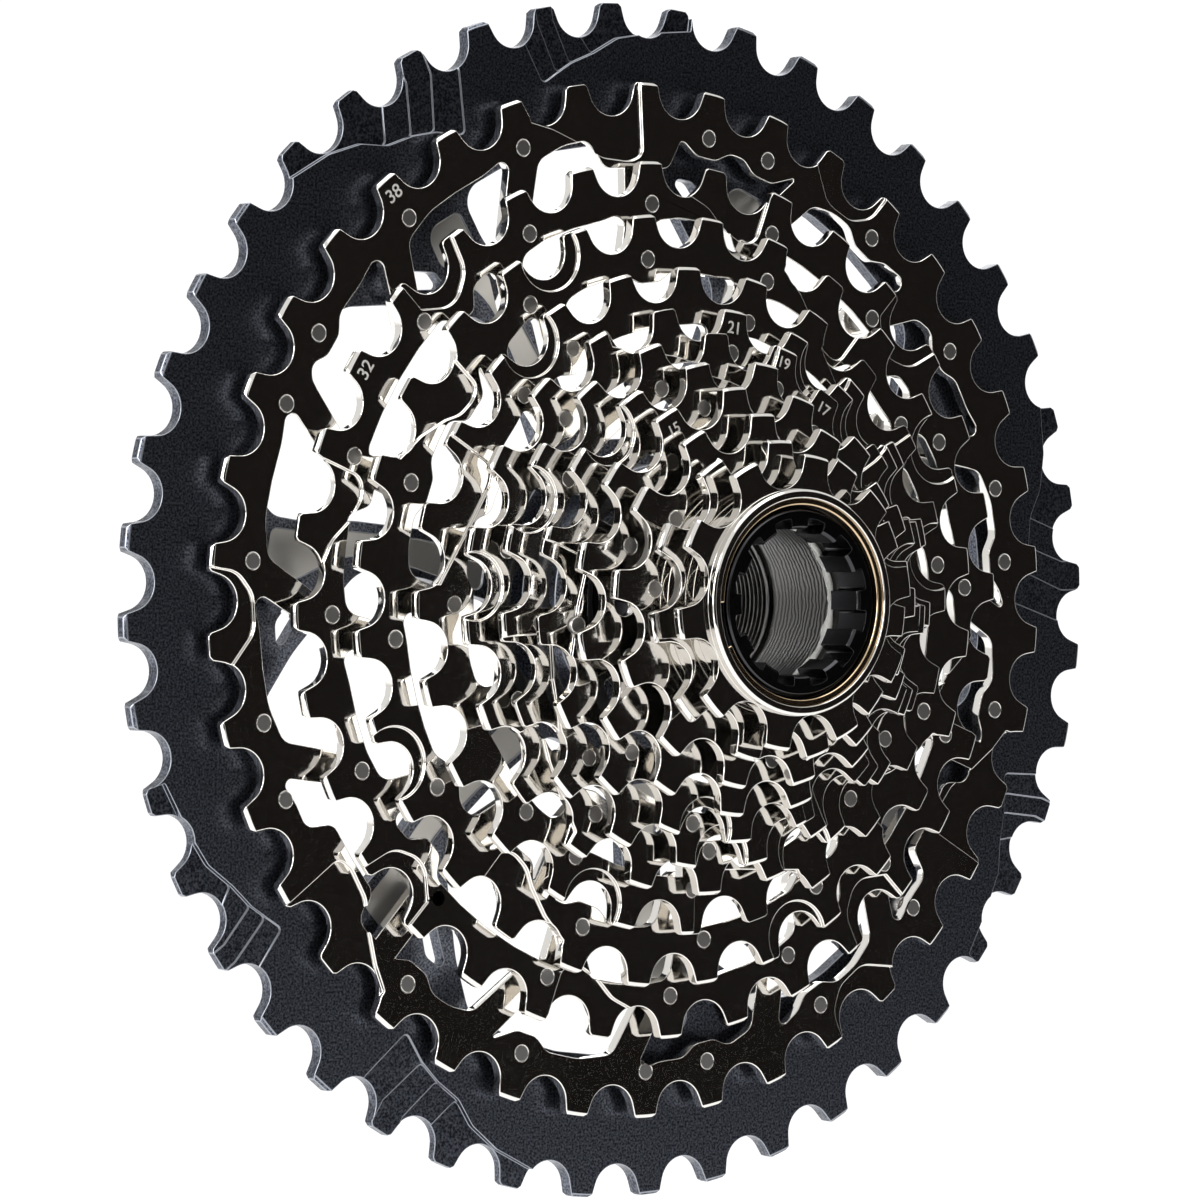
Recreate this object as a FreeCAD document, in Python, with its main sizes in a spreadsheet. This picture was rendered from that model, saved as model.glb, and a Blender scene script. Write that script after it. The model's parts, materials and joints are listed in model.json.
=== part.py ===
# Twelve-speed cassette sprocket: 10 to 44 teeth, pinned steel cogs on an aluminium spider.
#
# Frame: +Z up, the axle lies along Y, the large cog is at the back (Y = 0 is its front
# face) and the small cogs step forward towards -Y.  Every sketch sits on an XZ plane, so
# sketch x is X, sketch y is Z and the sketch normal is -Y: "height" below means distance
# in front of the large cog's front face.
import FreeCAD, Part
import math
import os
import Sketcher

os.makedirs("parts", exist_ok=True)
doc = FreeCAD.newDocument("cassette")
V = FreeCAD.Vector

# ------------------------------------------------------------------ driving dimensions
sheet = doc.addObject("Spreadsheet::Sheet", "sizes")
SIZES = [
    ("chain_pitch", 12.7, "distance between chain rollers"),
    ("seat_depth", 3.885, "roller seat floor below the pitch circle"),
    ("seat_radius", 4.05, "radius of the roller seat"),
    ("tip_rise", 1.15, "tooth tip above the pitch circle"),
    ("cog_step", 3.65, "one cog's front face to the next"),
    ("plate", 1.8, "thickness of a steel cog"),
    ("big_plate", 2.4, "thickness of the aluminium cog"),
    ("tip_bevel", 0.45, "bevel round the tooth tips"),
    ("ramp_depth", 0.6, "depth of a shift ramp in a steel cog"),
    ("stair_step", 0.22, "height of one stair in the large cog's ramps"),
    ("pin_radius", 1.2, "riveted end of a pin"),
    ("pin_shoulder", 1.75, "shoulder of a pin between two cogs"),
    ("driver_radius", 17.2, "pilot bore over the driver body"),
    ("spline_radius", 18.4, "floor of the driver splines"),
    ("spline_length", 3.5, "length of the driver splines"),
    ("spline_count", 9, "number of driver splines"),
    ("hub_radius", 20.5, "outside of the spider hub"),
    ("hub_back", 4.0, "spider hub behind the large cog's front face"),
    ("hub_front", 9.0, "spider hub in front of that face"),
    ("arm_count", 7, "spider arms"),
    ("facet_depth", 0.35, "machined facet on each spider arm"),
    ("tube_radius", 14.0, "lock tube outside"),
    ("tube_bore", 12.5, "lock tube inside"),
    ("tube_rear", 6.5, "rear end of the lock tube, height"),
    ("flange_radius", 14.95, "lock tube flange"),
    ("flange_rear", 39.05, "rear face of that flange, height"),
    ("flange_front", 40.1, "front face of that flange, height"),
    ("nose_radius", 13.6, "lock tube nose"),
    ("nose_front", 41.0, "front of the nose, height"),
    ("tool_land", 10.7, "radius over the tool lands"),
    ("tool_slot", 12.3, "radius of the tool slots"),
    ("tool_rear", 34.6, "rear end of the tool lands, height"),
    ("tool_count", 12, "number of tool slots"),
    ("thread_pitch", 1.0, "pitch of the tube thread"),
    ("thread_turns", 9, "turns of the tube thread"),
    ("ring_outer", 15.6, "retaining ring outside"),
    ("ring_inner", 14.15, "retaining ring inside"),
    ("ring_rear", 40.2, "rear of the retaining ring, height"),
    ("ring_thick", 1.0, "thickness of the retaining ring"),
    ("lip_front", 41.6, "front of the small cog's collar, height"),
    ("collar_radius", 16.5, "outside of that collar"),
    ("bush_inner", 14.1, "both glide bushes, inside"),
]
TEETH = [44, 38, 32, 28, 24, 21, 19, 17, 15, 13, 11, 10]
for teeth in TEETH:
    SIZES.append(("teeth_of_%d" % teeth, teeth, "tooth count"))
SIZE = {}
for row, (alias, value, note) in enumerate(SIZES, start=1):
    sheet.set("A%d" % row, note)
    sheet.set("B%d" % row, str(value))
    sheet.setAlias("B%d" % row, alias)
    SIZE[alias] = value
doc.recompute()


# ------------------------------------------------------------------ small helpers
def polar(radius, degrees):
    """A point of the XZ sketch plane."""
    turn = math.radians(degrees)
    return V(radius * math.cos(turn), radius * math.sin(turn), 0)


def pitch_radius(teeth):
    return SIZE["chain_pitch"] / (2 * math.sin(math.pi / teeth))


def pitch_formula(teeth):
    return "sizes.chain_pitch / (2 * sin(180 / sizes.teeth_of_%d))" % teeth


def origin_part(body, role):
    return [item for item in body.Origin.OriginFeatures if item.Role == role][0]


def new_body(label, compound=False):
    body = doc.addObject("PartDesign::Body", label)
    body.Label = label
    if compound:
        body.AllowCompound = True
    return body


def new_sketch(body, name, height=None, plane="XZ_Plane"):
    """A sketch on one of the body's own origin planes, lifted by a height formula."""
    sketch = body.newObject("Sketcher::SketchObject", name)
    sketch.AttachmentSupport = (origin_part(body, plane), [""])
    sketch.MapMode = "FlatFace"
    if height is not None:
        sketch.setExpression("AttachmentOffset.Base.z", height)
    return sketch


def circle(sketch, radius, formula=None, centre=V(0, 0, 0)):
    index = sketch.addGeometry(Part.Circle(centre, V(0, 0, 1), radius), False)
    if formula:
        name = "%s_r%d" % (sketch.Name, index)
        sketch.addConstraint(Sketcher.Constraint("Radius", index, radius))
        last = sketch.ConstraintCount - 1
        sketch.renameConstraint(last, name)
        sketch.setExpression("Constraints." + name, formula)
    return index


def circles(sketch, places, radius, formula):
    """Equal circles at many places: the first carries the size, the rest follow it."""
    first = None
    for place in places:
        if first is None:
            first = circle(sketch, radius, formula, place)
        else:
            other = circle(sketch, radius, None, place)
            sketch.addConstraint(Sketcher.Constraint("Equal", first, other))


def rounded_loop(sketch, points, radii):
    """A closed outline of straight runs whose corners are rounded by arcs."""
    count = len(points)
    starts = []
    ends = []
    arcs = []
    for i in range(count):
        here = points[i]
        back = points[i - 1] - here
        ahead = points[(i + 1) % count] - here
        room = 0.47 * min(back.Length, ahead.Length)
        back.normalize()
        ahead.normalize()
        half = 0.5 * math.acos(max(-1.0, min(1.0, back.dot(ahead))))
        run = min(room, radii[i] / math.tan(half)) if half < 1.56 else 0.0
        if run < 1e-3:
            starts.append(here)
            ends.append(here)
            arcs.append(None)
            continue
        radius = run * math.tan(half)
        first = here + back * run
        last = here + ahead * run
        middle = back + ahead
        middle.normalize()
        centre = here + middle * (radius / math.sin(half))
        crown = centre - middle * radius
        starts.append(first)
        ends.append(last)
        arcs.append(crown)
    for i in range(count):
        if arcs[i] is not None:
            arc = Part.Arc(starts[i], arcs[i], ends[i])
            sketch.addGeometry(arc, False)
        following = (i + 1) % count
        if (starts[following] - ends[i]).Length > 1e-6:
            sketch.addGeometry(Part.LineSegment(ends[i], starts[following]), False)


def volume_of(body):
    doc.recompute()
    return body.Shape.Volume


def pad(body, sketch, name, length, backwards=True):
    feature = body.newObject("PartDesign::Pad", name)
    feature.Profile = sketch
    feature.setExpression("Length", length)
    feature.Reversed = backwards
    feature.Refine = False
    sketch.Visibility = False
    return feature


def pocket(body, sketch, name, depth=None, check=True):
    """Cut away from the sketch towards the back of the part; no depth means all the way."""
    before = volume_of(body)
    feature = body.newObject("PartDesign::Pocket", name)
    feature.Profile = sketch
    feature.Refine = False
    if depth is None:
        feature.Type = "ThroughAll"
    else:
        feature.setExpression("Length", depth)
    sketch.Visibility = False
    if check:
        after = volume_of(body)
        if not after < before - 1e-4:
            raise RuntimeError(body.Label + " " + name + " cut nothing")
    return feature


def repeat(body, feature, name, formula):
    """Repeat a feature round the axle; the count comes from the sheet."""
    pattern = body.newObject("PartDesign::PolarPattern", name)
    pattern.Originals = [feature]
    pattern.Axis = (origin_part(body, "Y_Axis"), [""])
    pattern.Angle = 360
    pattern.Refine = False
    pattern.setExpression("Occurrences", formula)
    body.Tip = pattern
    return pattern


def turned(body, name, profiles, cut=False):
    """Turn closed (radius, height) profiles about the axle, or cut those shapes away."""
    sketch = new_sketch(body, name + "_profile", plane="XY_Plane")
    for profile in profiles:
        count = len(profile)
        first = len(sketch.Geometry)
        for i in range(count):
            a = profile[i]
            b = profile[(i + 1) % count]
            line = Part.LineSegment(V(a[0], -a[1], 0), V(b[0], -b[1], 0))
            sketch.addGeometry(line, False)
        for i in range(count):
            here = first + i
            there = first + (i + 1) % count
            sketch.addConstraint(Sketcher.Constraint("Coincident", here, 2, there, 1))
    before = volume_of(body) if cut else 0
    kind = "PartDesign::Groove" if cut else "PartDesign::Revolution"
    feature = body.newObject(kind, name)
    feature.Profile = sketch
    feature.ReferenceAxis = (origin_part(body, "Y_Axis"), [""])
    feature.Angle = 360
    feature.Refine = False
    sketch.Visibility = False
    if cut and not volume_of(body) < before - 1e-4:
        raise RuntimeError(body.Label + " " + name + " cut nothing")
    return sketch, feature


def hold_radius(sketch, line, formula):
    """Tie one upright line of a turned profile to a radius from the sheet."""
    value = abs(sketch.Geometry[line].StartPoint.x)
    sketch.addConstraint(Sketcher.Constraint("DistanceX", -1, 1, line, 1, value))
    last = sketch.ConstraintCount - 1
    name = "%s_x%d" % (sketch.Name, line)
    sketch.renameConstraint(last, name)
    sketch.addConstraint(Sketcher.Constraint("Vertical", line))
    sketch.setExpression("Constraints." + name, formula)


# ------------------------------------------------------------------ teeth
def cut_teeth(body, teeth, phase, height, flare=18.0):
    """One gap between two teeth, repeated round the cog."""
    root = pitch_radius(teeth) - SIZE["seat_depth"]
    tip = pitch_radius(teeth) + SIZE["tip_rise"]
    seat = SIZE["seat_radius"]
    lean = math.radians(flare)
    centre = root + seat
    low = (centre - seat * math.sin(lean), seat * math.cos(lean))
    knee_u = tip - 0.6
    knee = (knee_u, low[1] + (knee_u - low[0]) * math.tan(lean))
    end = (tip + 1.0, knee[1] + 1.6 * math.tan(math.radians(52)))
    gap = phase + 180.0 / teeth

    def place(u, v):
        turn = math.radians(gap)
        x = u * math.cos(turn) - v * math.sin(turn)
        y = u * math.sin(turn) + v * math.cos(turn)
        return V(x, y, 0)

    sketch = new_sketch(body, "gap_sketch", height)
    seat_arc = Part.Arc(place(low[0], low[1]), place(centre - seat, 0), place(low[0], -low[1]))
    sketch.addGeometry(seat_arc, False)
    run = [low, knee, end]
    for side in (1, -1):
        for a, b in zip(run, run[1:]):
            line = Part.LineSegment(place(a[0], side * a[1]), place(b[0], side * b[1]))
            sketch.addGeometry(line, False)
    sketch.addGeometry(Part.LineSegment(place(end[0], end[1]), place(end[0], -end[1])), False)
    sketch.addConstraint(Sketcher.Constraint("Radius", 0, seat))
    sketch.renameConstraint(0, "seat")
    sketch.setExpression("Constraints.seat", "sizes.seat_radius")
    cut = pocket(body, sketch, "gap")
    return repeat(body, cut, "gaps", "sizes.teeth_of_%d" % teeth)


def bevel_tips(body, teeth, front, thickness, size):
    """Turn a small bevel on the front and back edges of the tooth tips."""
    tip = pitch_radius(teeth) + SIZE["tip_rise"]
    out = tip + 0.5
    back = front - thickness
    front_cut = [(tip - size, front + 0.01), (out, front + 0.01), (out, front - size - 0.5)]
    back_cut = [(tip - size, back - 0.01), (out, back + size + 0.5), (out, back - 0.01)]
    turned(body, "tip_bevels", [front_cut, back_cut], cut=True)


# ------------------------------------------------------------------ inner outline of a cog
def pin_lobe(angle, rim, bulge):
    """A soft bump of the rim inwards round one of the cog's own pins."""
    wide = math.degrees(4.4 / rim)
    narrow = math.degrees(1.9 / rim)
    low = rim - bulge
    points = [polar(rim, angle - wide), polar(low, angle - narrow)]
    points += [polar(low, angle + narrow), polar(rim, angle + wide)]
    return (angle - wide, angle + wide, points, [3.0, 2.6, 2.6, 3.0])


def finger(angle, pin_radius, rim, lean, half_width=2.3, root_round=2.6):
    """A finger from the rim inwards, ending round the next cog's pin."""
    pin = polar(pin_radius, angle)
    root = polar(rim, angle + lean)
    along = pin - root
    along.normalize()
    side = V(-along.y, along.x, 0)
    end = pin + along * 2.7
    points = [root + side * -half_width * 1.15, end + side * -half_width]
    points += [end + side * half_width, root + side * half_width * 1.15]
    if (side.x * root.y - side.y * root.x) > 0:
        points.reverse()
    spread = math.degrees((half_width * 1.15) / rim)
    middle = angle + lean
    return (middle - spread, middle + spread, points,
            [root_round, half_width * 0.95, half_width * 0.95, root_round])


def web(start, stop, rim, inner):
    """A broad solid web behind a shift ramp."""
    lean = math.degrees(2.0 / rim)
    points = [polar(rim, start), polar(inner, start + lean)]
    points += [polar(inner, 0.5 * (start + stop))]
    points += [polar(inner, stop - lean), polar(rim, stop)]
    return (start, stop, points, [2.0, 2.0, 8.0, 2.0, 2.0])


def inner_outline(sketch, rim, shapes, step=6.0):
    """Walk once round the inside of the rim, visiting every lobe, finger and web."""
    shapes = sorted(shapes, key=lambda item: item[0] % 360)
    kept = []
    for shape in shapes:
        start = shape[0] % 360
        stop = start + (shape[1] - shape[0])
        if kept and start < kept[-1][1] + 0.6:
            continue
        if kept and stop - 360 > kept[0][0] - 0.6:
            continue
        kept.append((start, stop, shape[2], shape[3]))
    points = []
    radii = []
    for i, shape in enumerate(kept):
        points += shape[2]
        radii += shape[3]
        following = kept[(i + 1) % len(kept)][0]
        if i == len(kept) - 1:
            following += 360
        free = following - shape[1]
        extra = int(free / step)
        for k in range(extra):
            points.append(polar(rim, shape[1] + free * (k + 1) / (extra + 1)))
            radii.append(9.0)
    rounded_loop(sketch, points, radii)


def ramps(body, name, height, edges, outside, depth, round_off=4.0):
    """Shallow shift ramps: everything outside a curved edge, cut into the front face."""
    sketch = new_sketch(body, name + "_sketch", height)
    for edge in edges:
        points = [polar(radius, angle) for angle, radius in edge]
        radii = [round_off] * len(points)
        radii[0] = 0.3
        radii[-1] = 0.3
        first = edge[0][0]
        last = edge[-1][0]
        count = max(2, int(abs(last - first) / 6.0))
        for k in range(count + 1):
            angle = last + (first - last) * k / count
            points.append(polar(outside, angle))
            radii.append(0.0)
        rounded_loop(sketch, points, radii)
    return pocket(body, sketch, name, depth)


def cups(body, name, height, places, radius, depth):
    """Round shallow cups that let the chain drop to the next cog."""
    sketch = new_sketch(body, name + "_sketch", height)
    circles(sketch, places, radius, "%.3f" % radius)
    return pocket(body, sketch, name, depth)


def pin_holes(body, height, places):
    """Through holes for every pin this cog meets."""
    hole = new_sketch(body, "pin_hole_sketch", height)
    circles(hole, places, SIZE["pin_radius"], "sizes.pin_radius")
    pocket(body, hole, "pin_holes")


# ------------------------------------------------------------------ pin positions
# (cog, radius of its pins, angles).  Pins stand under teeth of their own cog.
def under_teeth(teeth, phase, picks):
    return [phase + 360.0 / teeth * k for k in picks]


PHASE = {44: 3.0, 38: 90.7, 32: 2.5, 28: 6.75, 24: 1.2, 21: 83.3, 19: 72.3, 17: 60.2,
         15: 168.4, 13: 175.2, 11: 189.7, 10: 189.0}
PINS = {
    38: (71.0, under_teeth(38, 90.7, [-1, -2, -4, -6, -8, -9, -11, -14, -16, -18, -19,
                                      -21, -23, -26, -27, -29, -31, -32, -34, -36])),
    32: (59.5, under_teeth(32, 2.5, range(0, 32, 2))),
    28: (51.2, under_teeth(28, 6.75, [k + 7 * n for n in range(4) for k in (0, 2, 5)])),
    24: (43.1, under_teeth(24, 1.2, [1, 2, 5, 8, 9, 12, 15, 16, 18, 21, 22])),
    21: (37.2, under_teeth(21, 83.3, [0, 3, 5, 7, 9, 11, 14, 16, 18])),
    19: (33.2, under_teeth(19, 72.3, [0, 2, 4, 6, 8, 10, 12, 14, 16])),
    17: (29.1, under_teeth(17, 60.2, [0, 2, 4, 6, 8, 10, 12, 14])),
    15: (23.7, [160.5 + 40 * k for k in range(9)]),
    13: (20.6, [145.0 + 120 * k for k in range(3)] + [175.2 + 120 * k for k in range(3)]),
}


def pin_places(teeth):
    radius, angles = PINS[teeth]
    return [polar(radius, angle) for angle in angles]


def front_height(teeth):
    return "sizes.cog_step * %d" % TEETH.index(teeth)


# ------------------------------------------------------------------ ordinary steel cogs
# rim: inner radius of the rim; lean: how far a finger's root trails its tip, degrees;
# webs: (start, stop, inner radius); ramps: curved edges; cups: (angles, radius).
COGS = {
    38: {"rim": 69.6, "bulge": 1.7, "lean": -5.2,
         "webs": [(85.5 + t, 99.5 + t, 65.2) for t in (0, 123.16, 236.84)],
         "ramps": [[(91.6 + t, 76.5), (91.3 + t, 67.0), (93.4 + t, 66.0), (97.8 + t, 66.8),
                    (100.9 + t, 69.3), (104.7 + t, 72.3), (107.6 + t, 74.2)]
                   for t in (0, 123.16, 236.84)]
                  + [[(177.0 + t, 77.5), (177.3 + t, 73.4), (179.8 + t, 70.6),
                      (184.2 + t, 70.4), (187.6 + t, 74.5)] for t in (0, 123.16, 236.84)],
         "cups": ([], 0)},
    32: {"rim": 57.6, "bulge": 1.6, "lean": -2.0,
         "webs": [(158.5 + t, 168.0 + t, 54.6) for t in (0, 90, 180, 270)]
                 + [(127.6 + t, 135.2 + t, 54.8) for t in (0, 90, 180, 270)],
         "ramps": [[(162.0 + t, 63.8), (162.3 + t, 57.4), (164.8 + t, 56.1),
                    (169.0 + t, 57.5), (172.2 + t, 60.0), (178.5 + t, 62.6)]
                   for t in (0, 90, 180, 270)]
                  + [[(126.4 + t, 65.5), (127.2 + t, 60.3), (131.9 + t, 57.2),
                      (136.6 + t, 61.0)] for t in (0, 90, 180, 270)],
         "cups": ([], 0)},
    28: {"rim": 49.2, "bulge": 1.5, "lean": -2.0,
         "webs": [(138.0 + t, 148.5 + t, 46.3) for t in (0, 90, 180, 270)],
         "ramps": [[(139.6 + t, 56.5), (139.8 + t, 48.2), (142.2 + t, 47.3),
                    (146.0 + t, 47.8), (148.6 + t, 49.6), (153.4 + t, 52.2),
                    (158.3 + t, 54.2)] for t in (0, 90, 180, 270)],
         "cups": ([115.3, 205.3, 295.3, 25.3], 5.4)},
    24: {"rim": 41.2, "bulge": 1.5, "lean": -1.0,
         "webs": [(151.0 + t, 164.0 + t, 38.9) for t in (0, 120, 240)],
         "ramps": [[(151.6 + t, 48.6), (152.0 + t, 41.2), (155.5 + t, 40.4),
                    (164.1 + t, 41.4), (170.4 + t, 43.0), (177.6 + t, 45.6)]
                   for t in (0, 120, 240)],
         "cups": ([128.7, 248.7, 8.7], 5.2)},
    21: {"rim": 35.6, "bulge": 1.2, "lean": 0.0,
         "webs": [],
         "ramps": [[(209.6 + t, 41.5), (210.6 + t, 35.6), (213.5 + t, 35.4),
                    (219.8 + t, 36.8), (227.9 + t, 38.6), (235.5 + t, 41.2)]
                   for t in (0, 120, 240)],
         "cups": ([177.6, 297.6, 57.6], 5.0)},
    19: {"rim": 31.4, "bulge": 1.2, "lean": 0.0,
         "webs": [],
         "ramps": [[(188.0 + t, 38.0), (189.0 + t, 31.9), (191.6 + t, 31.5),
                    (201.0 + t, 32.6), (211.0 + t, 34.1), (218.6 + t, 36.0)]
                   for t in (0, 113.68, 246.3)],
         "cups": ([157.6, 271.2, 43.9], 4.9)},
    17: {"rim": 27.2, "bulge": 1.2, "lean": 0.0,
         "webs": [],
         "ramps": [[(166.0 + t, 34.0), (167.5 + t, 28.4), (172.0 + t, 27.8),
                    (182.0 + t, 28.8), (192.0 + t, 30.2), (201.0 + t, 32.6)]
                   for t in (0, 127.06, 232.9)],
         "cups": ([134.3, 261.4, 7.3], 4.8)},
}


def steel_cog(teeth):
    """One stamped steel cog with its rim, fingers, teeth, ramps and pin holes."""
    spec = COGS[teeth]
    smaller = TEETH[TEETH.index(teeth) + 1]
    front = front_height(teeth)
    body = new_body("sprocket_%dt" % teeth)
    blank = new_sketch(body, "blank_sketch", front)
    tip = pitch_radius(teeth) + SIZE["tip_rise"]
    circle(blank, tip, pitch_formula(teeth) + " + sizes.tip_rise")
    shapes = [web(a, b, spec["rim"], inner) for a, b, inner in spec["webs"]]
    next_radius, next_angles = PINS[smaller]
    fingers = [finger(angle, next_radius, spec["rim"], spec["lean"]) for angle in next_angles]
    shapes = clear_of(fingers, shapes) + shapes
    own_radius, own_angles = PINS[teeth]
    lobes = [pin_lobe(angle, spec["rim"], spec["bulge"]) for angle in own_angles]
    shapes = shapes + clear_of(lobes, shapes)
    inner_outline(blank, spec["rim"], shapes)
    pad(body, blank, "blank", "sizes.plate")
    # a finger lost inside a broad web keeps its pin: the web is carried in to meet it
    lost = [a for a, shape in zip(next_angles, fingers) if shape not in shapes]
    if lost:
        extra = new_sketch(body, "web_tip_sketch", front)
        for angle in lost:
            tip_points = [polar(spec["rim"] + 2.5, angle + 3.2 * 40 / spec["rim"]),
                          polar(spec["rim"] + 2.5, angle - 3.2 * 40 / spec["rim"]),
                          polar(next_radius - 2.6, angle - math.degrees(2.4 / next_radius)),
                          polar(next_radius - 2.6, angle + math.degrees(2.4 / next_radius))]
            rounded_loop(extra, tip_points, [0.0, 0.0, 2.2, 2.2])
        pad(body, extra, "web_tips", "sizes.plate")
    cut_teeth(body, teeth, PHASE[teeth], front)
    height = SIZE["cog_step"] * TEETH.index(teeth)
    bevel_tips(body, teeth, height, SIZE["plate"], SIZE["tip_bevel"])
    ramps(body, "ramps", front, spec["ramps"], tip + 1.0, "sizes.ramp_depth")
    cup_angles, cup_radius = spec["cups"]
    if cup_angles:
        places = [polar(pitch_radius(teeth) - 0.6, angle) for angle in cup_angles]
        cups(body, "cups", front, places, cup_radius, "sizes.ramp_depth")
    pin_holes(body, front, pin_places(teeth) + pin_places(smaller))
    return body


def clear_of(shapes, others):
    """Those shapes whose roots do not run into any of the others."""
    free = []
    for shape in shapes:
        middle = 0.5 * (shape[0] + shape[1])
        half = 0.5 * (shape[1] - shape[0])
        hit = False
        for other in others:
            gap = (middle - 0.5 * (other[0] + other[1]) + 180) % 360 - 180
            if abs(gap) < half + 0.5 * (other[1] - other[0]) + 0.6:
                hit = True
        if not hit:
            free.append(shape)
    return free


# ------------------------------------------------------------------ the four smallest cogs
def small_cog(teeth, inner, inner_formula):
    """A solid little cog: a toothed disc with a round bore."""
    front = front_height(teeth)
    body = new_body("sprocket_%dt" % teeth)
    blank = new_sketch(body, "blank_sketch", front)
    circle(blank, pitch_radius(teeth) + SIZE["tip_rise"], pitch_formula(teeth) + " + sizes.tip_rise")
    circle(blank, inner, inner_formula)
    pad(body, blank, "blank", "sizes.plate")
    return body


def finish_small_cog(body, teeth, flare):
    front = front_height(teeth)
    cut_teeth(body, teeth, PHASE[teeth], front, flare)
    height = SIZE["cog_step"] * TEETH.index(teeth)
    bevel_tips(body, teeth, height, SIZE["plate"], SIZE["tip_bevel"])


def cog_15t():
    body = small_cog(15, 18.4, "sizes.teeth_of_15 + 3.4")
    finish_small_cog(body, 15, 20)
    window = new_sketch(body, "peep_hole_sketch", front_height(15))
    circles(window, [polar(23.2, 181 + 120 * k) for k in range(3)], 1.9, "1.9")
    pocket(body, window, "peep_holes")
    pin_holes(body, front_height(15), pin_places(15) + pin_places(13))
    return body


def cog_13t():
    body = small_cog(13, 17.6, "17.6")
    finish_small_cog(body, 13, 21)
    pin_holes(body, front_height(13), pin_places(13))
    return body


def cog_11t():
    body = small_cog(11, 15.9, "15.9")
    back = SIZE["cog_step"] * 10 - SIZE["plate"]
    seat = SIZE["cog_step"] * 9
    low = seat - SIZE["plate"]
    boss = [(15.9, low), (17.6, low), (17.6, seat), (18.2, seat), (18.2, back), (15.9, back)]
    turned(body, "boss", [boss])
    finish_small_cog(body, 11, 22)
    return body


def cog_10t():
    body = small_cog(10, 15.15, "sizes.flange_radius + 0.2")
    low = 31.5
    step = SIZE["cog_step"] * 10
    plate_back = SIZE["cog_step"] * 11 - SIZE["plate"]
    lip = SIZE["lip_front"]
    groove = SIZE["ring_rear"]
    groove_top = groove + SIZE["ring_thick"]
    mouth = SIZE["flange_radius"] + 0.2
    stop = SIZE["flange_rear"] - 0.05
    collar = SIZE["collar_radius"]
    core = [(14.9, low), (15.9, low), (15.9, step), (16.4, step), (16.4, plate_back),
            (collar, plate_back), (collar, lip - 0.35), (collar - 0.35, lip),
            (mouth + 0.15, lip), (mouth, lip - 0.15), (mouth, groove_top),
            (SIZE["ring_outer"], groove_top), (SIZE["ring_outer"], groove), (mouth, groove),
            (mouth, stop), (14.15, stop), (14.15, 37.0), (14.9, 37.0)]
    turned(body, "core", [core])
    finish_small_cog(body, 10, 22)
    return body


# ------------------------------------------------------------------ the aluminium cog
STAIR_A = [[(113.0, 84.6), (114.9, 75.6)], [(116.2, 86.0), (118.5, 78.1)],
           [(119.2, 86.5), (121.3, 79.4)], [(122.6, 86.0), (124.6, 80.4)]]
EDGE_A = [(114.9, 75.6), (118.5, 78.1), (121.3, 79.4), (124.6, 80.4), (127.3, 83.2),
          (131.0, 85.3), (136.4, 87.2)]
STAIR_B = [[(218.9, 85.6), (217.5, 79.0)], [(216.8, 88.0), (215.4, 80.2)],
           [(214.8, 88.0), (213.4, 81.4)], [(211.9, 86.0), (210.4, 82.6)]]
EDGE_B = [(217.5, 79.0), (215.4, 80.2), (213.4, 81.4), (210.4, 82.6), (207.2, 84.8),
          (203.0, 85.9), (198.0, 87.2)]
ARM_WINDOW = [(141.8, 68.2), (149.0, 68.7), (156.0, 68.9), (163.0, 68.7), (169.9, 68.2),
              (169.6, 61.0), (167.6, 52.0), (165.4, 40.0), (162.9, 25.6), (150.0, 24.6),
              (137.0, 24.6), (130.0, 25.6), (124.5, 38.0), (123.2, 49.5), (136.3, 62.0)]
ARM_SLOT = [(136.0, 64.6), (132.0, 64.6), (127.7, 60.6), (127.5, 57.5)]
ARM_FACET = [(119.9, 66.0), (125.6, 66.4), (126.2, 61.0), (121.4, 52.0), (122.3, 40.0),
             (126.5, 28.0), (114.8, 28.0), (116.2, 40.0), (118.0, 52.0), (119.6, 60.0)]


def stair_region(riser, edge, level, shift, outside):
    """One terrace: from a riser along the wavy edge to the far end, out past the teeth."""
    points = [riser[0]] + [p for p in edge[level:]]
    loop = [polar(radius, angle + shift) for angle, radius in points]
    radii = [0.3, 0.8] + [3.0] * (len(points) - 3) + [0.3]
    first = points[0][0]
    last = points[-1][0]
    for k in range(5):
        angle = last + (first - last) * k / 4 + shift
        loop.append(polar(outside, angle))
        radii.append(0.0)
    return loop, radii


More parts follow.
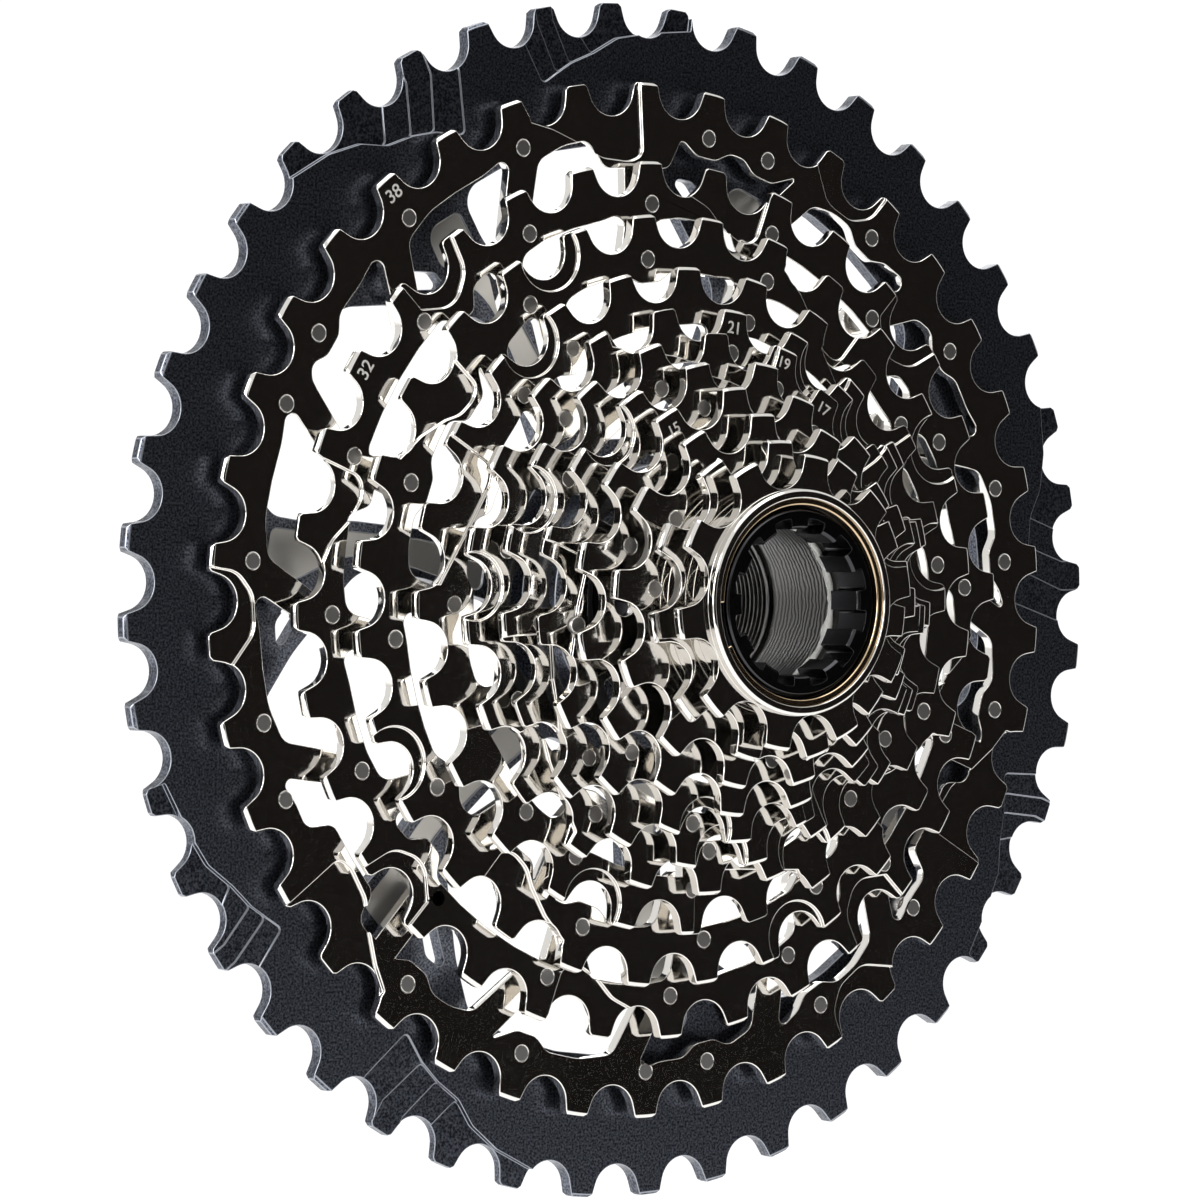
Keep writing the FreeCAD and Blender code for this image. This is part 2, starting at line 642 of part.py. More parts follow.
def cog_44t():
    body = new_body("sprocket_44t")
    blank = new_sketch(body, "blank_sketch", "0 * sizes.cog_step")
    tip = pitch_radius(44) + SIZE["tip_rise"]
    circle(blank, tip, pitch_formula(44) + " + sizes.tip_rise")
    circle(blank, SIZE["driver_radius"], "sizes.driver_radius")
    pad(body, blank, "blank", "sizes.big_plate")
    low = -SIZE["hub_back"]
    top = SIZE["hub_front"]
    bore = SIZE["driver_radius"]
    hub = [(bore, low), (SIZE["hub_radius"], low), (SIZE["hub_radius"], top - 0.8),
           (SIZE["hub_radius"] - 0.8, top), (16.2, top), (16.2, 6.0), (bore, 6.0)]
    turned(body, "hub", [hub])
    window = new_sketch(body, "arm_window_sketch", "0.01")
    corners = [polar(radius, angle) for angle, radius in ARM_WINDOW]
    soft = [4.5, 12, 12, 12, 4.5, 12, 20, 20, 4.0, 12, 12, 4.0, 12, 7.0, 20]
    rounded_loop(window, corners, soft)
    slot = [polar(radius, angle) for angle, radius in ARM_SLOT]
    rounded_loop(window, slot, [1.0, 2.0, 1.2, 0.8])
    cut = pocket(body, window, "arm_window")
    repeat(body, cut, "arm_windows", "sizes.arm_count")
    facet = new_sketch(body, "arm_facet_sketch", "0 * sizes.cog_step")
    corners = [polar(radius, angle) for angle, radius in ARM_FACET]
    rounded_loop(facet, corners, [1.2, 2.5, 2.5, 12, 12, 1.2, 1.2, 12, 12, 12])
    cut = pocket(body, facet, "arm_facet", "sizes.facet_depth")
    repeat(body, cut, "arm_facets", "sizes.arm_count")
    spline = new_sketch(body, "spline_sketch", "sizes.spline_length - sizes.hub_back")
    wide = 9.0
    floor = SIZE["spline_radius"]
    sides = [polar(bore - 1.0, -wide), polar(floor, -wide * 0.8), polar(floor + 0.05, 0)]
    sides += [polar(floor, wide * 0.8), polar(bore - 1.0, wide)]
    rounded_loop(spline, sides, [0.0, 0.4, 0.0, 0.4, 0.0])
    cut = pocket(body, spline, "spline")
    repeat(body, cut, "splines", "sizes.spline_count")
    cut_teeth(body, 44, PHASE[44], "0 * sizes.cog_step")
    bevel_tips(body, 44, 0.0, SIZE["big_plate"], SIZE["tip_bevel"])
    for level in range(4):
        sketch = new_sketch(body, "stair_%d_sketch" % level, "0 * sizes.cog_step")
        for shift in (0.0, 122.73, 245.45):
            for riser, edge in ((STAIR_A, EDGE_A), (STAIR_B, EDGE_B)):
                loop, radii = stair_region(riser[level], edge, level, shift, tip + 1.0)
                rounded_loop(sketch, loop, radii)
        pocket(body, sketch, "stair_%d" % level, "sizes.stair_step * %d" % (level + 1))
    pin_holes(body, "0 * sizes.cog_step", pin_places(38))
    return body


# ------------------------------------------------------------------ pins
def pin_group(small, large):
    """All pins between two cogs: shouldered pins riveted flush with both outer faces."""
    body = new_body("pins_%d_to_%d" % (small, large), compound=True)
    behind = "sizes.big_plate" if large == 44 else "sizes.plate"
    shank = new_sketch(body, "shank_sketch", front_height(small))
    circles(shank, pin_places(small), SIZE["pin_radius"], "sizes.pin_radius")
    pad(body, shank, "shanks", "sizes.cog_step + " + behind)
    shoulder = new_sketch(body, "shoulder_sketch", front_height(small) + " - sizes.plate")
    circles(shoulder, pin_places(small), SIZE["pin_shoulder"], "sizes.pin_shoulder")
    pad(body, shoulder, "shoulders", "sizes.cog_step - sizes.plate")
    return body


# ------------------------------------------------------------------ lock tube and its ring
def lock_tube():
    body = new_body("lock_tube")
    bore = SIZE["tube_bore"]
    outer = SIZE["tube_radius"]
    land = SIZE["tool_land"]
    nose = SIZE["nose_radius"]
    front = SIZE["nose_front"]
    profile = [(bore, SIZE["tube_rear"]), (outer - 0.5, SIZE["tube_rear"]),
               (outer, SIZE["tube_rear"] + 0.5), (outer, SIZE["flange_rear"]),
               (SIZE["flange_radius"], SIZE["flange_rear"]),
               (SIZE["flange_radius"], SIZE["flange_front"]), (nose, SIZE["flange_front"]),
               (nose, front - 0.3), (nose - 0.3, front), (land + 0.4, front),
               (land, front - 0.4), (land, SIZE["tool_rear"]), (bore, SIZE["tool_rear"])]
    sketch, feature = turned(body, "wall", [profile])
    hold_radius(sketch, 2, "sizes.tube_radius")
    hold_radius(sketch, 4, "sizes.flange_radius")
    hold_radius(sketch, 10, "sizes.tool_land")
    slot = new_sketch(body, "tool_slot_sketch", "sizes.nose_front + 0.01")
    middle = 17.0
    half = 7.6
    floor = SIZE["tool_slot"]
    corners = [polar(land - 1.5, middle - half), polar(floor, middle - half),
               polar(floor + 0.08, middle), polar(floor, middle + half),
               polar(land - 1.5, middle + half)]
    rounded_loop(slot, corners, [0.0, 0.35, 0.0, 0.35, 0.0])
    cut = pocket(body, slot, "tool_slot", "sizes.nose_front - sizes.tool_rear + 0.01")
    repeat(body, cut, "tool_slots", "sizes.tool_count")
    relief = [(bore - 0.1, 17.6), (bore + 0.5, 17.6), (bore + 0.5, 19.2), (bore - 0.1, 19.2)]
    turned(body, "relief", [relief], cut=True)
    ridges = []
    for turn in range(int(SIZE["thread_turns"])):
        low = 8.0 + SIZE["thread_pitch"] * turn
        ridges.append([(bore - 0.1, low), (bore + 0.45, low + 0.45), (bore - 0.1, low + 0.9)])
    turned(body, "thread", ridges, cut=True)
    return body


def retaining_ring():
    body = new_body("retaining_ring")
    sketch = new_sketch(body, "ring_sketch", "sizes.ring_rear + sizes.ring_thick")
    outer = SIZE["ring_outer"]
    inner = SIZE["ring_inner"]
    start = math.radians(206)
    stop = math.radians(181 + 360)
    axis = V(0, 0, 1)
    centre = V(0, 0, 0)
    big = Part.ArcOfCircle(Part.Circle(centre, axis, outer), start, stop)
    small = Part.ArcOfCircle(Part.Circle(centre, axis, inner), start, stop)
    sketch.addGeometry(big, False)
    sketch.addGeometry(small, False)
    sketch.addGeometry(Part.LineSegment(polar(outer, 206), polar(inner, 206)), False)
    sketch.addGeometry(Part.LineSegment(polar(outer, 181), polar(inner, 181)), False)
    sketch.addConstraint(Sketcher.Constraint("Radius", 0, outer))
    sketch.renameConstraint(0, "outer")
    sketch.addConstraint(Sketcher.Constraint("Coincident", 0, 3, 1, 3))
    sketch.addConstraint(Sketcher.Constraint("Coincident", 0, 1, 2, 1))
    sketch.addConstraint(Sketcher.Constraint("Coincident", 1, 1, 2, 2))
    sketch.addConstraint(Sketcher.Constraint("Coincident", 0, 2, 3, 1))
    sketch.addConstraint(Sketcher.Constraint("Coincident", 1, 2, 3, 2))
    sketch.setExpression("Constraints.outer", "sizes.ring_outer")
    pad(body, sketch, "ring", "sizes.ring_thick")
    return body


def bush(label, outer, low, high):
    body = new_body(label)
    inner = SIZE["bush_inner"]
    profile = [(inner, low), (outer, low), (outer, high - 0.2), (outer - 0.2, high),
               (inner, high)]
    sketch, feature = turned(body, "sleeve", [profile])
    hold_radius(sketch, 4, "sizes.bush_inner")
    return body


# ------------------------------------------------------------------ build and write
bodies = [cog_44t()]
for teeth in (38, 32, 28, 24, 21, 19, 17):
    bodies.append(steel_cog(teeth))
bodies += [cog_15t(), cog_13t(), cog_11t(), cog_10t()]
for small, large in zip(TEETH[1:10], TEETH[:9]):
    bodies.append(pin_group(small, large))
bodies += [lock_tube(), retaining_ring()]
bodies.append(bush("glide_bush_front", 14.9, 32.0, 36.8))
bodies.append(bush("glide_bush_rear", 16.2, 6.2, 9.0))
doc.recompute()

for body in bodies:
    for item in body.Group:
        if "Invalid" in item.State or "Error" in item.State:
            raise RuntimeError(body.Label + ": " + item.Name + " failed")
    shape = body.Shape
    if shape.isNull() or not shape.isValid():
        raise RuntimeError(body.Label + " has a bad shape")
    shape.exportStep("parts/%s.step" % body.Label)
    box = shape.BoundBox
    print("%-18s solids %2d  volume %9.1f  Y %7.2f to %7.2f  R %6.2f" % (
        body.Label, len(shape.Solids), shape.Volume, box.YMin, box.YMax, box.XMax))
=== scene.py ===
# %% [markdown]
# # A twelve-speed cassette
# Twelve toothed cogs step from forty-four teeth down to ten on one axle.  The big one is
# black aluminium with leaning spider arms, the others are bright plated steel, and pins hold
# each cog to the next.  The solid shapes come finished from CAD, so this lesson is about what
# CAD leaves out: soft edges, metal finishes, stamped numbers, grease and light.  The model is
# in metres, the axle lies along Y and the small cogs face -Y.

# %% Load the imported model
import json
import math

import bpy
from mathutils import Matrix, Vector


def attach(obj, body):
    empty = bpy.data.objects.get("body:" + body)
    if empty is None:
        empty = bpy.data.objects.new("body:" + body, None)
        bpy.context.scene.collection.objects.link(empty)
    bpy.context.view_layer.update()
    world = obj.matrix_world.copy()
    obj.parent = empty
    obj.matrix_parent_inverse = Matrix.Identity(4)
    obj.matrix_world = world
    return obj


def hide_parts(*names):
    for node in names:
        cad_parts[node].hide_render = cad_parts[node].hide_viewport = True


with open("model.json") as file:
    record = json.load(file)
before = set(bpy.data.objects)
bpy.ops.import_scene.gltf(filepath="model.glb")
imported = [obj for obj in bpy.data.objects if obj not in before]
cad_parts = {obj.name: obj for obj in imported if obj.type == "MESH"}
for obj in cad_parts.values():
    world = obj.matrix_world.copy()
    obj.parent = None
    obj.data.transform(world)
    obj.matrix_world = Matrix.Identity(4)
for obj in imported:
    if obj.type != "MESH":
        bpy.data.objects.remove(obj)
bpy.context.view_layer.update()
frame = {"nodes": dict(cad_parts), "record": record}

MM = 0.001
TEETH = [44, 38, 32, 28, 24, 21, 19, 17, 15, 13, 11, 10]
COG_STEP = 3.65 * MM

# %% [markdown]
# ## Colours and nodes
# Paint charts and screens give colours as sRGB hex, while a shader wants linear light.  One
# function does that turn for every finish.  A second adds a shader node, sets it and links
# it, so each recipe below reads as a list of steps, and the last two start a material off.

# %% Helpers for materials
def linear(hex_colour):
    """sRGB hex such as '#23252B' as linear red, green, blue and alpha."""
    channels = []
    for i in (1, 3, 5):
        c = int(hex_colour[i:i + 2], 16) / 255
        channels.append(c / 12.92 if c <= 0.04045 else ((c + 0.055) / 1.055) ** 2.4)
    return (*channels, 1.0)


def add(material, kind, settings=None, links=None):
    """Add a node; settings go on sockets or attributes, links come from other outputs."""
    node = material.node_tree.nodes.new(kind)
    for name, value in (settings or {}).items():
        if name in node.inputs:
            node.inputs[name].default_value = value
        else:
            setattr(node, name, value)
    for name, output in (links or {}).items():
        material.node_tree.links.new(output, node.inputs[name])
    return node


def plain(name, colour, roughness):
    """A material with its Principled shader set to one colour and one roughness."""
    material = bpy.data.materials.new(name)
    material.use_nodes = True
    shader = material.node_tree.nodes["Principled BSDF"]
    shader.inputs["Base Color"].default_value = linear(colour)
    shader.inputs["Roughness"].default_value = roughness
    return material, shader


def metal(name, colour, roughness):
    """A material with its Principled shader set up as bare metal."""
    material, shader = plain(name, colour, roughness)
    shader.inputs["Metallic"].default_value = 1.0
    material.diffuse_color = linear(colour)
    return material, shader


print("dark slate in linear light:", [round(c, 4) for c in linear("#23252B")])

# %% [markdown]
# ## Bright nickel plate
# The steel cogs are stamped, tumbled and nickel plated.  Plating is a mirror with a faint
# warm tint: it shows no colour of its own, only the room.  Tumbling leaves the flat faces
# very slightly wavy over some millimetres, so reflections swim a little.  A noise of 4 mm
# scale as bump gives that.  A finer one of 0.25 mm sets the roughness and gives the odd speck
# where the finish is duller.  Real specks are finer: these are drawn coarser so that they show.

# %% Nickel plate
def nickel_plate():
    material, shader = metal("nickel_plated_steel", "#D2CFCA", 0.06)
    place = add(material, "ShaderNodeTexCoord")
    waves = add(material, "ShaderNodeTexNoise", {"Scale": 1 / (4.0 * MM), "Detail": 2.0},
                {"Vector": place.outputs["Object"]})
    bump = add(material, "ShaderNodeBump", {"Strength": 0.08, "Distance": 0.05 * MM},
               {"Height": waves.outputs["Fac"]})
    specks = add(material, "ShaderNodeTexNoise", {"Scale": 1 / (0.25 * MM), "Detail": 1.0},
                 {"Vector": place.outputs["Object"]})
    dull = add(material, "ShaderNodeMapRange", {"From Min": 0.5, "From Max": 0.75,
                                                "To Min": 0.05, "To Max": 0.18},
               {"Value": specks.outputs["Fac"]})
    links = material.node_tree.links
    links.new(bump.outputs["Normal"], shader.inputs["Normal"])
    links.new(dull.outputs["Result"], shader.inputs["Roughness"])
    return material


NICKEL = nickel_plate()
print("made", NICKEL.name)

# %% [markdown]
# ## Blasted, black anodised aluminium
# The largest cog and the lock tube are machined, blasted with fine grit and anodised black.
# Grit leaves a field of tiny dents that each catch the light their own way, so the slate
# colour is full of fine specks.  Speckle goes in both colour and bump, at 0.35 mm, which is
# coarser than real grit leaves it so that it shows from a metre away.

# %% Black anodised aluminium
def black_anodised():
    material, shader = metal("black_anodised_aluminium", "#2A2C31", 0.35)
    place = add(material, "ShaderNodeTexCoord")
    grit = add(material, "ShaderNodeTexNoise", {"Scale": 1 / (0.35 * MM), "Detail": 3.0},
               {"Vector": place.outputs["Object"]})
    tone = add(material, "ShaderNodeValToRGB", {}, {"Fac": grit.outputs["Fac"]})
    tone.color_ramp.elements[0].position = 0.38
    tone.color_ramp.elements[0].color = linear("#282A31")
    tone.color_ramp.elements[1].position = 0.66
    tone.color_ramp.elements[1].color = linear("#666A74")
    bump = add(material, "ShaderNodeBump", {"Strength": 0.30, "Distance": 0.03 * MM},
               {"Height": grit.outputs["Fac"]})
    links = material.node_tree.links
    links.new(tone.outputs["Color"], shader.inputs["Base Color"])
    links.new(bump.outputs["Normal"], shader.inputs["Normal"])
    return material


BLACK = black_anodised()
print("made", BLACK.name)

# %% [markdown]
# ## Machined aluminium, turned bore, pins, spring and polymer
# After anodising, the spider's seats are milled back to bare aluminium: pale, satin, with a
# 0.3 mm grain.  The big cog's rounded edges are painted paler: a painted highlight for the
# light that the rounding catches.  The lock tube is turned smooth
# before its black anodising, so it keeps a soft shine that the blasted cog has lost.  The
# tube's bore is roughly turned, so it has rings along the axle.  They are about 0.8 mm apart,
# coarser than a real tool leaves them.  Rivet heads are plain satin steel, the retaining ring
# is bronze-coloured spring wire, and the glide bushes are a black polymer.

# %% The smaller finishes
BANDS_PER_SCALE = 3.2  # a band wave repeats about this many times over one unit of its scale


def milled_aluminium():
    material, shader = metal("milled_aluminium", "#B4B3B0", 0.38)
    place = add(material, "ShaderNodeTexCoord")
    grain = add(material, "ShaderNodeTexNoise", {"Scale": 1 / (0.3 * MM), "Detail": 2.0},
                {"Vector": place.outputs["Object"]})
    bump = add(material, "ShaderNodeBump", {"Strength": 0.25, "Distance": 0.02 * MM},
               {"Height": grain.outputs["Fac"]})
    material.node_tree.links.new(bump.outputs["Normal"], shader.inputs["Normal"])
    return material


def turned_bore():
    material, shader = metal("rough_turned_bore", "#565553", 0.34)
    place = add(material, "ShaderNodeTexCoord")
    rings = add(material, "ShaderNodeTexWave", {"wave_type": "BANDS", "bands_direction": "Y",
                                                "Scale": 1 / (0.8 * MM) / BANDS_PER_SCALE,
                                                "Distortion": 6.0, "Detail": 4.0},
                {"Vector": place.outputs["Object"]})
    bump = add(material, "ShaderNodeBump", {"Strength": 0.5, "Distance": 0.08 * MM},
               {"Height": rings.outputs["Fac"]})
    material.node_tree.links.new(bump.outputs["Normal"], shader.inputs["Normal"])
    return material


# Painted highlight: the big cog's edge material is paler than its anodising, standing in for
# the light its rounded edges catch.
EDGE_HIGHLIGHT_PAINT, _ = metal("painted_highlight_anodised_edge", "#8A8D94", 0.34)
BLACK_TUBE, _ = metal("black_anodised_turned_aluminium", "#3A3A3C", 0.22)
MILLED = milled_aluminium()
BORE = turned_bore()
PIN_STEEL, _ = metal("satin_pin_steel", "#858381", 0.42)
SPRING, _ = metal("bronze_spring_wire", "#BFA98A", 0.16)
ETCH, _ = metal("etched_steel", "#F1EFEA", 0.55)
ACETAL, _ = plain("black_acetal", "#17171A", 0.4)
print("made", [m.name for m in (MILLED, BORE, PIN_STEEL, SPRING, ETCH, ACETAL)])

# %% [markdown]
# ## Soft edges on every CAD part
# A CAD edge is perfectly sharp and a real one never is: the thin bright lines round a cog are
# light caught by edges rounded a tenth of a millimetre or so.  The Bevel modifier makes them,
# but CAD meshes are loose triangles.  So each part is copied, its doubles are merged, the flat
# triangles are dissolved into whole faces, and only then are its sharp edges bevelled.  Very
# short steps would make the bevel cross itself and tear the big flat faces, so they are merged
# away first, and each cog has the widest rounding that hardly tears it.  Weighted normals then
# keep the flat faces flat in the reflections.  The copy takes the CAD node's place and rides
# the same body.

# %% Copy, merge, dissolve and bevel
BODY_OF = {node: body for body, nodes in frame["record"]["behaviour"]["bodies"].items()
           for node in nodes}
SAME_POINT = 0.002 * MM
NO_LENGTH = 0.01 * MM
FLAT_ANGLE = math.radians(0.6)  # neighbours that turn less than this are one flat face
EDGE_ANGLE = math.radians(38)  # edges that turn more than this are rounded
CREASE_ANGLE = math.radians(50)  # edges that turn more than this stay sharp in the shading
FLAT_FACES_FIRST = 100  # the strongest pull of large faces on the normals


def deselect():
    if bpy.context.object and bpy.context.object.mode != "OBJECT":
        bpy.ops.object.mode_set(mode="OBJECT")
    bpy.ops.object.select_all(action="DESELECT")


def pick(obj):
    deselect()
    obj.select_set(True)
    bpy.context.view_layer.objects.active = obj


def torn_area(mesh):
    """How far the drawn triangles overlap or miss their faces, in square millimetres."""
    mesh.calc_loop_triangles()
    drawn = [0.0] * len(mesh.polygons)
    for triangle in mesh.loop_triangles:
        drawn[triangle.polygon_index] += triangle.area
    return sum(abs(a - face.area) for a, face in zip(drawn, mesh.polygons)) / MM ** 2


def softened(node, material, width=0.10 * MM, segments=2, shortest=0.09 * MM, edge=None):
    """A copy of one CAD node with merged faces and edges rounded by width.

    Steps under shortest are merged away, and edge is the material of the rounded edges.
    """
    source = frame["nodes"][node]
    piece = bpy.data.objects.new(node + "_soft", source.data.copy())
    bpy.context.collection.objects.link(piece)
    pick(piece)
    bpy.ops.object.mode_set(mode="EDIT")
    bpy.ops.mesh.select_all(action="SELECT")
    bpy.ops.mesh.remove_doubles(threshold=SAME_POINT)
    bpy.ops.mesh.dissolve_limited(angle_limit=FLAT_ANGLE)
    bpy.ops.mesh.remove_doubles(threshold=shortest)
    bpy.ops.mesh.dissolve_degenerate(threshold=NO_LENGTH)
    bpy.ops.mesh.dissolve_limited(angle_limit=FLAT_ANGLE)
    bpy.ops.mesh.select_all(action="DESELECT")
    bpy.ops.object.mode_set(mode="OBJECT")
    piece.data.materials.clear()
    piece.data.materials.append(material)
    bevel = piece.modifiers.new("edge_rounding", "BEVEL")
    if edge:
        piece.data.materials.append(edge)
        bevel.material = 1
    bevel.width = width
    bevel.segments = segments
    bevel.limit_method = "ANGLE"
    bevel.angle_limit = EDGE_ANGLE
    bevel.use_clamp_overlap = False
    bpy.ops.object.modifier_apply(modifier=bevel.name)
    bpy.ops.object.shade_smooth_by_angle(angle=CREASE_ANGLE)
    weigh = piece.modifiers.new("flat_faces_win", "WEIGHTED_NORMAL")
    weigh.mode = "FACE_AREA"
    weigh.weight = FLAT_FACES_FIRST
    weigh.keep_sharp = True
    bpy.ops.object.modifier_apply(modifier=weigh.name)
    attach(piece, BODY_OF[node])
    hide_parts(node)
    return piece


# Edge rounding of each cog in millimetres, found by trial: wider ones tear the faces.
EDGE_RADIUS = {44: 0.14, 38: 0.17, 32: 0.17, 28: 0.18, 24: 0.10, 21: 0.17,
               19: 0.14, 17: 0.10, 15: 0.17, 13: 0.18, 11: 0.12, 10: 0.08}
cogs = {}
# The 44-tooth cog's rounded edges get the paler edge material, which is a painted highlight.
for teeth in TEETH:
    shortest_step = (0.09 if teeth > 32 else 0.13) * MM
    cogs[teeth] = softened("sprocket_%dt" % teeth, BLACK if teeth == 44 else NICKEL,
                           EDGE_RADIUS[teeth] * MM, 2, shortest_step,
                           EDGE_HIGHLIGHT_PAINT if teeth == 44 else None)
print({teeth: (len(cog.data.polygons), round(torn_area(cog.data), 1))
       for teeth, cog in cogs.items()})

# %% Pins, tube, ring and bushes
pin_groups = [softened(node, PIN_STEEL, 0.10 * MM, 1, SAME_POINT, NICKEL)
              for node in sorted(frame["nodes"]) if node.startswith("pins_")]
tube = softened("lock_tube", BLACK_TUBE, 0.05 * MM, 2, SAME_POINT)
ring = softened("retaining_ring", SPRING, 0.32 * MM, 4, SAME_POINT)
bushes = [softened(node, ACETAL) for node in ("glide_bush_front", "glide_bush_rear")]
print("pin groups:", len(pin_groups), "bushes:", len(bushes),
      "torn:", [round(torn_area(p.data), 1) for p in (tube, ring, *pin_groups)])

# %% [markdown]
# ## Two finishes on one part
# The spider's milled seats and the tube's bore are faces of larger parts.  They are found by
# where they are, not picked by hand.  The seats are the faces that look to -Y a third of a
# millimetre behind the large cog's front.  The bore is every face near the axle, behind the
# front of the tool splines, that doesn't look outwards.

# %% Paint the milled seats and the bore
def paint(piece, material, belongs):
    """Give a second material to the faces that belongs(centre, normal) accepts."""
    piece.data.materials.append(material)
    index = len(piece.data.materials) - 1
    count = 0
    for face in piece.data.polygons:
        if belongs(face.center, face.normal):
            face.material_index = index
            count += 1
    return count


FACET_DEPTH = 0.35 * MM
FACET_SLACK = 0.05 * MM
BORE_RADIUS = 12.5 * MM
BORE_SLACK = 0.9 * MM
TOOL_REAR = -34.6 * MM
REAR_SLACK = 0.3 * MM
FACES_FRONT = -0.9
LOOKS_OUTWARDS = 0.3


def is_milled_seat(centre, normal):
    return normal.y < FACES_FRONT and abs(centre.y - FACET_DEPTH) < FACET_SLACK


def is_bore(centre, normal):
    radius = math.hypot(centre.x, centre.z)
    outward = normal.x * centre.x + normal.z * centre.z > LOOKS_OUTWARDS * radius
    near = radius < BORE_RADIUS + BORE_SLACK
    return near and not outward and centre.y > TOOL_REAR + REAR_SLACK


print("milled faces:", paint(cogs[44], MILLED, is_milled_seat))
print("bore faces:", paint(tube, BORE, is_bore))

# %% [markdown]
# ## Tooth counts
# Makers etch each cog's tooth count on one tooth, reading outwards.  Text is a curve in
# Blender, so it is made at its size, turned to a mesh, stood up to face -Y and moved to its
# tooth.  It stands a hundredth of a millimetre proud so that it can't flicker with the face,
# and the 17 lies in a shift ramp six tenths deep.

# %% Etched numbers
PROUD = 0.01 * MM
STROKE_GROWTH = 0.02 * MM
QUARTER_TURN = math.radians(90)


def etched_number(teeth, angle, radius, height, sunk):
    """The tooth count of one cog at a polar place, sunk behind its front face."""
    deselect()
    bpy.ops.object.text_add()
    label = bpy.context.object
    label.data.body = str(teeth)
    label.data.size = height
    label.data.align_x = "CENTER"
    label.data.align_y = "CENTER"
    label.data.extrude = PROUD
    label.data.offset = STROKE_GROWTH
    label.name = "number_%d" % teeth
    bpy.ops.object.convert(target="MESH")
    front = sunk - COG_STEP * TEETH.index(teeth)
    turn = math.radians(angle)
    stand = Matrix.Rotation(QUARTER_TURN, 4, "X")
    spin = Matrix.Rotation(QUARTER_TURN - turn, 4, "Y")
    place = Matrix.Translation((radius * math.cos(turn), front - PROUD,
                                radius * math.sin(turn)))
    label.data.transform(place @ spin @ stand)
    label.data.materials.clear()
    label.data.materials.append(ETCH)
    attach(label, "cassette")
    return label


# Tooth count, angle in degrees, then radius, height and depth in millimetres.
NUMBERS = [(38, 128.6, 75.3, 2.9, 0), (32, 148.7, 63.3, 2.9, 0), (21, 83.3, 41.0, 2.6, 0),
           (19, 72.3, 37.4, 2.4, 0), (17, 60.2, 33.3, 2.4, 0.6), (15, 120.4, 28.9, 2.3, 0)]
labels = [etched_number(n, angle, radius * MM, size * MM, sunk * MM)
          for n, angle, radius, size, sunk in NUMBERS]
print("numbers:", [label.name for label in labels])

# %% [markdown]
# ## Grease at the tool splines
# Assembly grease squeezes out in a pale bead in the corner where the splines end inside the
# tube.  A torus is too even for that, so a Displace modifier with a cloud texture of 2.5 mm
# lumps pushes it in and out.  The modifier is applied, so the bead is one plain mesh.

# %% Grease bead
BEAD_RADIUS = 12.15 * MM
BEAD_THICKNESS = 0.6 * MM
BEAD_BEHIND_SPLINES = 1.9 * MM


def grease_bead():
    deselect()
    bpy.ops.mesh.primitive_torus_add(major_radius=BEAD_RADIUS, minor_radius=BEAD_THICKNESS,
                                     major_segments=120, minor_segments=12,
                                     rotation=(QUARTER_TURN, 0, 0),
                                     location=(0, TOOL_REAR + BEAD_BEHIND_SPLINES, 0))
    bead = bpy.context.object
    bead.name = "grease_bead"
    bpy.ops.object.transform_apply(location=True, rotation=True, scale=True)
    lumps = bpy.data.textures.new("grease_lumps", "CLOUDS")
    lumps.noise_scale = 2.5 * MM
    push = bead.modifiers.new("lumps", "DISPLACE")
    push.texture = lumps
    push.texture_coords = "LOCAL"
    push.strength = 1.1 * MM
    push.mid_level = 0.55
    bpy.ops.object.modifier_apply(modifier=push.name)
    bpy.ops.object.shade_smooth()
    grease, _ = plain("white_assembly_grease", "#FAF9F4", 0.35)
    bead.data.materials.append(grease)
    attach(bead, "tube")
    return bead


bead = grease_bead()
print("bead faces:", len(bead.data.polygons))

# %% [markdown]
# ## Studio
# Mirror-bright metal is lit by what it reflects.  The cogs' flat faces send the camera's line
# of sight off to the right and front, so a black card stands there and makes them look black.
# Tooth walls throw it back towards the lens, so a smaller card stands round the lens too, and
# a narrow third one stands behind.  Everything else is white: a pale floor, a white room and
# large soft lights, which show as white lines on every edge and tooth wall that turns to the
# left, up or down.

# %% Floor, cards, lights and room
FLOOR_SIZE = 12.0
FLOOR_HEIGHT = -0.30


def studio_floor():
    deselect()
    bpy.ops.mesh.primitive_plane_add(size=FLOOR_SIZE, location=(0, 0, FLOOR_HEIGHT))
    floor = bpy.context.object
    floor.name = "floor"
    paper, _ = plain("white_paper", "#FBFBFB", 0.9)
    floor.data.materials.append(paper)
    return floor


def dark_felt():
    """Matt black with no shine of its own, which would turn the reflections grey."""
    felt, shader = plain("dark_felt", "#141211", 1.0)
    shader.inputs["Specular IOR Level"].default_value = 0.0
    return felt


def facing_axle(place):
    """Stand at a place with +Z pointing away from the middle of the part."""
    turn = place.to_track_quat("Z", "Y").to_matrix().to_4x4()
    return Matrix.Translation(place) @ turn


def black_card(name, felt, away, distance, width, height):
    """A card that only reflections see, facing the axle from that direction."""
    deselect()
    bpy.ops.mesh.primitive_plane_add(size=1.0)
    card = bpy.context.object
    card.name = name
    card.data.transform(Matrix.Diagonal((width, height, 1.0, 1.0)))
    card.matrix_world = facing_axle(Vector(away).normalized() * distance)
    card.data.materials.append(felt)
    card.visible_camera = False
    card.visible_shadow = False
    return card


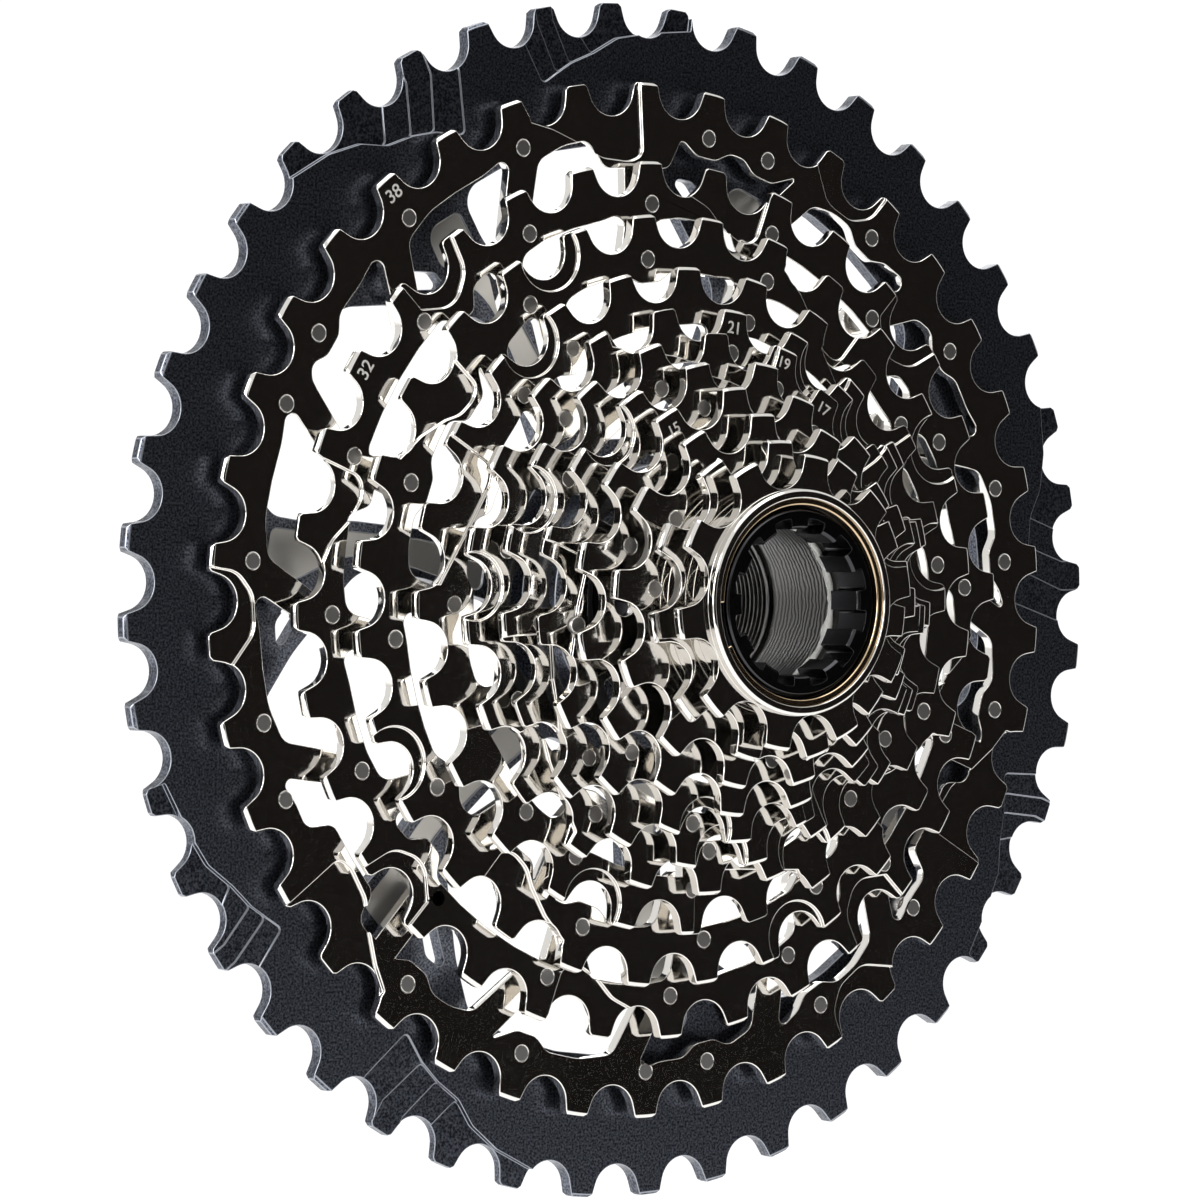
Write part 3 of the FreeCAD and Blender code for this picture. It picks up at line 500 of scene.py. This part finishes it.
def soft_light(name, place, size, power):
    data = bpy.data.lights.new(name, "AREA")
    data.size = size
    data.energy = power
    lamp = bpy.data.objects.new(name, data)
    bpy.context.collection.objects.link(lamp)
    lamp.matrix_world = facing_axle(Vector(place))
    return lamp


FELT = dark_felt()
floor = studio_floor()
cards = [black_card("mirror_card", FELT, (0.60, -0.80, 0.0), 1.3, 2.2, 2.0),
         black_card("camera_card", FELT, (-0.60, -0.80, 0.0), 1.0, 0.75, 0.75),
         black_card("back_card", FELT, (0.25, 1.0, 0.1), 1.2, 0.5, 1.2)]
lights = [soft_light("left_softbox", (-1.5, -0.2, 0.5), 1.2, 34),
          soft_light("top_softbox", (0.0, -0.3, 1.6), 1.4, 14),
          soft_light("back_softbox", (0.6, 1.5, 0.3), 1.5, 16)]
world = bpy.data.worlds.new("white_room")
world.use_nodes = True
room = world.node_tree.nodes["Background"]
room.inputs["Color"].default_value = (1, 1, 1, 1)
room.inputs["Strength"].default_value = 1.08
bpy.context.scene.world = world
bpy.context.scene.view_settings.view_transform = "Standard"
print("stage:", [thing.name for thing in (floor, *cards, *lights)])

# %% [markdown]
# ## Camera
# The camera stands level with the axle, 36.6 degrees round from the small end, with a long
# lens from about 0.9 m.  It is a few millimetres to the side and leans two thirds of a degree.

# %% Camera
AZIMUTH = math.radians(36.615)
ROLL = math.radians(0.677)
DISTANCE = 0.88684
SIDE_STEP = 0.004845
FOCAL_LENGTH = 176.08
lens = bpy.data.cameras.new("camera")
lens.sensor_width = 36.0
lens.lens = FOCAL_LENGTH
lens.clip_start = 0.01
camera = bpy.data.objects.new("camera", lens)
bpy.context.collection.objects.link(camera)
look = Vector((math.sin(AZIMUTH), math.cos(AZIMUTH), 0))
level = Vector((math.cos(AZIMUTH), -math.sin(AZIMUTH), 0))
up = Vector((0, 0, 1))
right = level * math.cos(ROLL) + up * math.sin(ROLL)
raised = up * math.cos(ROLL) - level * math.sin(ROLL)
eye = -look * DISTANCE - level * SIDE_STEP
turn = Matrix((right, raised, -look)).transposed().to_4x4()
camera.matrix_world = Matrix.Translation(eye) @ turn
bpy.context.scene.camera = camera
print("camera at", [round(c, 4) for c in eye])
